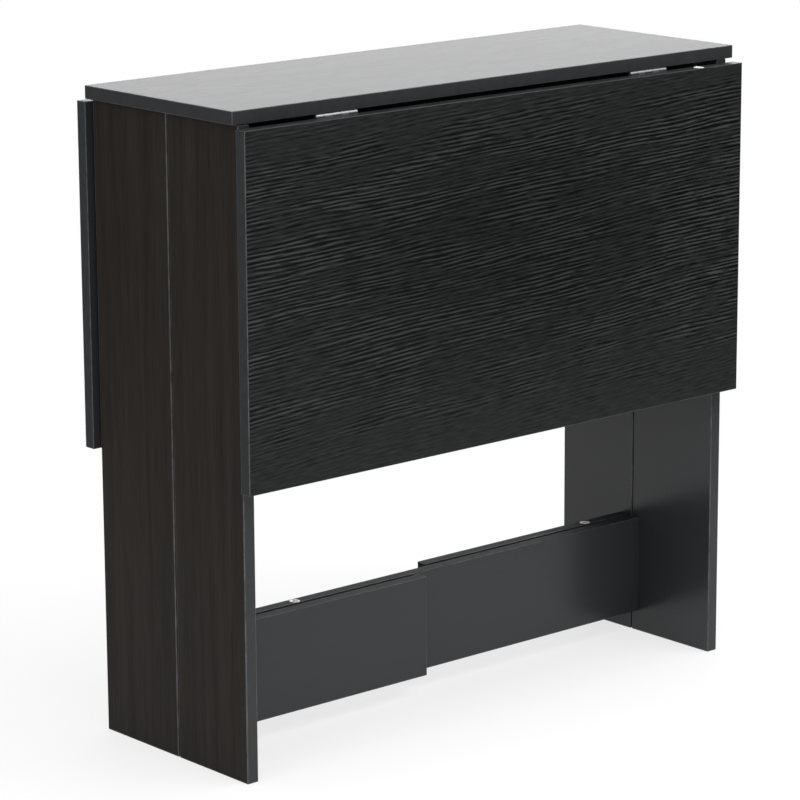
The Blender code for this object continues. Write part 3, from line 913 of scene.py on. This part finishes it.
def bracket(leg, half, looks):
    """An angle bracket bent at the origin, with legs along +X and +Y, and the seats of its screws."""
    finish = finish_of(bright_zinc_plate, looks)
    metal = looks.bracket_metal
    bend = (OUTER_BEND * metal, OUTER_BEND * metal)
    outline = [(leg, 0), (leg, metal)] + arc(bend, INNER_BEND * metal, 270, 180, INNER_BEND_FACETS)
    outline += [(metal, leg), (0, leg)] + arc(bend, OUTER_BEND * metal, 180, 270, CORNER_FACETS)
    mesh = to_mesh(prism(outline, -half, half), "bracket", [finish])
    cutters, seats = [], []
    for matrix in (Matrix.Identity(4), facing(-Z_AXIS, Y_AXIS, ORIGIN)):
        seat = matrix @ facing(Y_AXIS, X_AXIS, Vector(((leg + metal) / 2, metal, 0)))
        seats.append(seat)
        cutters.append(moved(countersink(looks), seat))
        corners = corner_cutters(leg, half, looks.corner, 2 * metal)
        cutters += [moved(corner, matrix) for corner in corners]
    return rounded(carve(mesh, to_mesh(merged(cutters), "cuts", [finish]))), seats


class TABLE_OT_brackets(bpy.types.Operator):
    """Builds the angle brackets between the fixed panels and the top"""

    bl_idname = "table.brackets"
    bl_label = "Brackets"

    def execute(self, context):
        looks = context.scene.table_hardware
        for side, turn in SIDES.items():
            for number in PAIR:
                node = f"{side}_panel_bracket_{number}"
                low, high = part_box(node)
                at = Vector((high.x if turn > 0 else low.x, (low.y + high.y) / 2, high.z))
                matrix = facing(-turn * Y_AXIS, -turn * X_AXIS, at)
                mesh, seats = bracket(high.z - low.z, (high.y - low.y) / 2, looks)
                stand_for(node, mesh, matrix)
                places = [matrix @ seat for seat in seats]
                add_screws(f"{node}_screws", BODY_OF[node], places, looks)
        return {"FINISHED"}


def cam_lock(radius, depth, looks):
    """A round lock below the origin, with a raised rim and a cross recess."""
    finish = finish_of(die_cast_zinc, looks)
    # The rim has a broken outer edge and slopes down to the sunk face inside.
    rim = LOCK_RIM * radius
    profile = [
        (radius, -depth),
        (radius, -0.5 * rim),
        (radius - 0.3 * rim, 0),
        (radius - rim, 0),
        (radius - 1.3 * rim, -0.4 * rim),
    ]
    mesh = to_mesh(turned(profile, LOCK_FACETS), "lock", [finish])
    recess = prism(cross(looks.lock_recess, looks.lock_slot), -LOCK_CROSS_DEPTH, CUT_OVER)
    return rounded(carve(mesh, to_mesh(recess, "recess", [finish])))


class TABLE_OT_cam_locks(bpy.types.Operator):
    """Builds the round cam locks in the board edges"""

    bl_idname = "table.cam_locks"
    bl_label = "Cam Locks"

    def execute(self, context):
        looks = context.scene.table_hardware
        for node in (name for name in frame["nodes"] if name.endswith("cam_lock")):
            low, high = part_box(node)
            at = Vector(((low.x + high.x) / 2, (low.y + high.y) / 2, high.z))
            mesh = cam_lock((high.x - low.x) / 2, high.z - low.z, looks)
            stand_for(node, mesh, facing(Z_AXIS, X_AXIS, at))
        return {"FINISHED"}


class TABLE_OT_dowels(bpy.types.Operator):
    """Leaves the dowels in bare wood"""

    bl_idname = "table.dowels"
    bl_label = "Dowels"

    def execute(self, context):
        finish = finish_of(turned_beech, context.scene.table_hardware)
        for node in (name for name in frame["nodes"] if name.endswith("dowel")):
            materials = frame["nodes"][node].data.materials
            materials.clear()
            materials.append(finish)
        return {"FINISHED"}


def seen_rays(tree):
    """One where a surface is seen, straight or in metal or glass, and zero where it lights others."""
    path = add_node(tree, "ShaderNodeLightPath")
    seen = path.outputs["Is Camera Ray"]
    for ray in ("Is Glossy Ray", "Is Transmission Ray"):
        seen = add_node(tree, "ShaderNodeMath", {0: seen, 1: path.outputs[ray]}, operation="MAXIMUM")
    return seen


def studio_floor_paint(looks):
    """White painted floor that keeps the table's shadow and runs out to pure white."""
    material, tree, shader = start_material("studio_floor_paint")
    shader.inputs["Base Color"].default_value = opaque(looks.floor_white)
    shader.inputs["Roughness"].default_value = 0.9
    shader.inputs["Specular IOR Level"].default_value = 0.0
    point = add_node(tree, "ShaderNodeTexCoord").outputs["Object"]
    reach = add_node(tree, "ShaderNodeVectorMath", {0: point}, operation="LENGTH")
    # White takes over from 0.5 m to 1.4 m off the middle of the table.
    far = add_node(
        tree,
        "ShaderNodeMapRange",
        {0: reach.outputs["Value"], 1: 0.5, 2: 1.4, 3: 0.7, 4: 1.0},
        interpolation_type="SMOOTHSTEP",
    )
    share = add_node(tree, "ShaderNodeMath", {0: far, 1: seen_rays(tree)}, operation="MULTIPLY")
    white = add_node(tree, "ShaderNodeEmission", {"Color": (1, 1, 1, 1), "Strength": 1.0})
    mixed = add_node(tree, "ShaderNodeMixShader", {0: share, 1: shader, 2: white})
    tree.links.new(mixed.outputs[0], tree.nodes["Material Output"].inputs["Surface"])
    return material


def studio_world():
    """Soft grey light from all round, seen as pure white."""
    world = bpy.data.worlds.new("studio")
    world.use_nodes = True
    tree = world.node_tree
    strength = add_node(tree, "ShaderNodeMapRange", {0: seen_rays(tree), 3: ROUND_LIGHT, 4: 1.0})
    background = tree.nodes["Background"]
    background.inputs["Color"].default_value = (1, 1, 1, 1)
    tree.links.new(strength.outputs[0], background.inputs["Strength"])
    return world


def black_felt(looks):
    """Wool felt: swallows light, so that a glossy side shows its own colour.

    Single fibres are too fine to show, so tufts of 3 mm are drawn.
    """
    material, tree, shader = start_material("black_felt")
    point = add_node(tree, "ShaderNodeTexCoord").outputs["Object"]
    wool = add_node(tree, "ShaderNodeTexNoise", {"Vector": point, "Scale": 1 / (3 * MM), "Detail": 2.0})
    tone = add_node(tree, "ShaderNodeMapRange", {0: wool, 3: 0.7, 4: 1.3})
    paint = add_node(tree, "ShaderNodeVectorMath", {0: looks.felt, "Scale": tone}, operation="SCALE")
    tree.links.new(paint.outputs[0], shader.inputs["Base Color"])
    shader.inputs["Roughness"].default_value = 1.0
    shader.inputs["Specular IOR Level"].default_value = 0.0
    return material


def softbox(name, place, towards, width, height, watts):
    """A rectangular area lamp that faces a point."""
    lamp = bpy.data.lights.new(name, "AREA")
    lamp.shape = "RECTANGLE"
    lamp.size = width
    lamp.size_y = height
    lamp.energy = watts
    thing = add_object(name, lamp)
    thing.location = place
    thing.rotation_euler = (Vector(towards) - Vector(place)).to_track_quat("-Z", "Y").to_euler()


def studio_floor(looks):
    """A round floor under the table."""
    shape = bmesh.new()
    bmesh.ops.create_circle(shape, cap_ends=True, segments=FLOOR_FACETS, radius=FLOOR_RADIUS)
    return add_object("floor", to_mesh(shape, "floor", [studio_floor_paint(looks)]))


def felt_screen(looks):
    """A round screen that only the glossy sides see, open behind the table."""
    shape = bmesh.new()
    start = 90 + math.degrees(looks.azimuth + looks.screen_gap / 2)
    sweep = 360 - math.degrees(looks.screen_gap)
    ring = arc((0, 0), looks.screen_radius, start, start + sweep, SCREEN_FACETS)
    foot = [shape.verts.new((x, y, 0)) for x, y in ring]
    head = [shape.verts.new((x, y, looks.screen_height)) for x, y in ring]
    for step in range(SCREEN_FACETS):
        shape.faces.new((foot[step], foot[step + 1], head[step + 1], head[step]))
    screen = add_object("felt_screen", to_mesh(shape, "felt_screen", [black_felt(looks)]))
    screen.visible_camera = False
    screen.visible_diffuse = False
    screen.visible_shadow = False
    return screen


def studio_camera(looks):
    """The camera, which looks at its target from the photograph's side."""
    back = Vector(
        (
            math.sin(looks.azimuth) * math.cos(looks.elevation),
            -math.cos(looks.azimuth) * math.cos(looks.elevation),
            math.sin(looks.elevation),
        )
    )
    right = Matrix.Rotation(looks.roll, 3, back) @ Z_AXIS.cross(back).normalized()
    camera = add_object("camera", bpy.data.cameras.new("camera"))
    camera.data.sensor_width = SENSOR_MM
    camera.data.lens = looks.lens
    camera.matrix_world = facing(back, right, Vector(looks.target) + looks.distance * back)
    return camera


class TABLE_OT_stage(bpy.types.Operator):
    """Sets up the floor, the light and the camera"""

    bl_idname = "table.stage"
    bl_label = "Stage"

    def execute(self, context):
        scene, looks = context.scene, context.scene.table_studio
        floor = studio_floor(looks)
        screen = felt_screen(looks)
        scene.world = studio_world()
        scene.view_settings.view_transform = "Standard"
        for name, lamp in SOFTBOXES.items():
            softbox(name, *lamp)
        scene.camera = studio_camera(looks)
        return {"FINISHED"}


class TABLE_PT_looks(bpy.types.Panel):
    """Lists the steps in the sidebar"""

    bl_label = "Drop-Leaf Table"
    bl_idname = "TABLE_PT_looks"
    bl_space_type = "VIEW_3D"
    bl_region_type = "UI"
    bl_category = "Drop-Leaf Table"

    def draw(self, context):
        for step in OPERATORS:
            self.layout.operator(step.bl_idname)


OPERATORS = (
    TABLE_OT_top_and_leaves,
    TABLE_OT_end_panels,
    TABLE_OT_rails,
    TABLE_OT_leaf_hinges,
    TABLE_OT_gate_hinges,
    TABLE_OT_brackets,
    TABLE_OT_cam_locks,
    TABLE_OT_dowels,
    TABLE_OT_stage,
)
GROUPS = {"table_boards": BoardLooks, "table_hardware": HardwareLooks, "table_studio": StudioLooks}


def register():
    """Registers the groups of values, the steps and the panel."""
    for group in GROUPS.values():
        bpy.utils.register_class(group)
    for name, group in GROUPS.items():
        setattr(bpy.types.Scene, name, PointerProperty(type=group))
    for step in OPERATORS:
        bpy.utils.register_class(step)
    bpy.utils.register_class(TABLE_PT_looks)


def unregister():
    """Takes back what register did."""
    bpy.utils.unregister_class(TABLE_PT_looks)
    for step in reversed(OPERATORS):
        bpy.utils.unregister_class(step)
    for name, group in GROUPS.items():
        delattr(bpy.types.Scene, name)
        bpy.utils.unregister_class(group)


def main():
    """Dresses the table step by step."""
    register()
    bpy.ops.table.top_and_leaves()
    bpy.ops.table.end_panels()
    bpy.ops.table.rails()
    bpy.ops.table.leaf_hinges()
    bpy.ops.table.gate_hinges()
    bpy.ops.table.brackets()
    bpy.ops.table.cam_locks()
    bpy.ops.table.dowels()
    bpy.ops.table.stage()


if __name__ == "__main__":
    main()
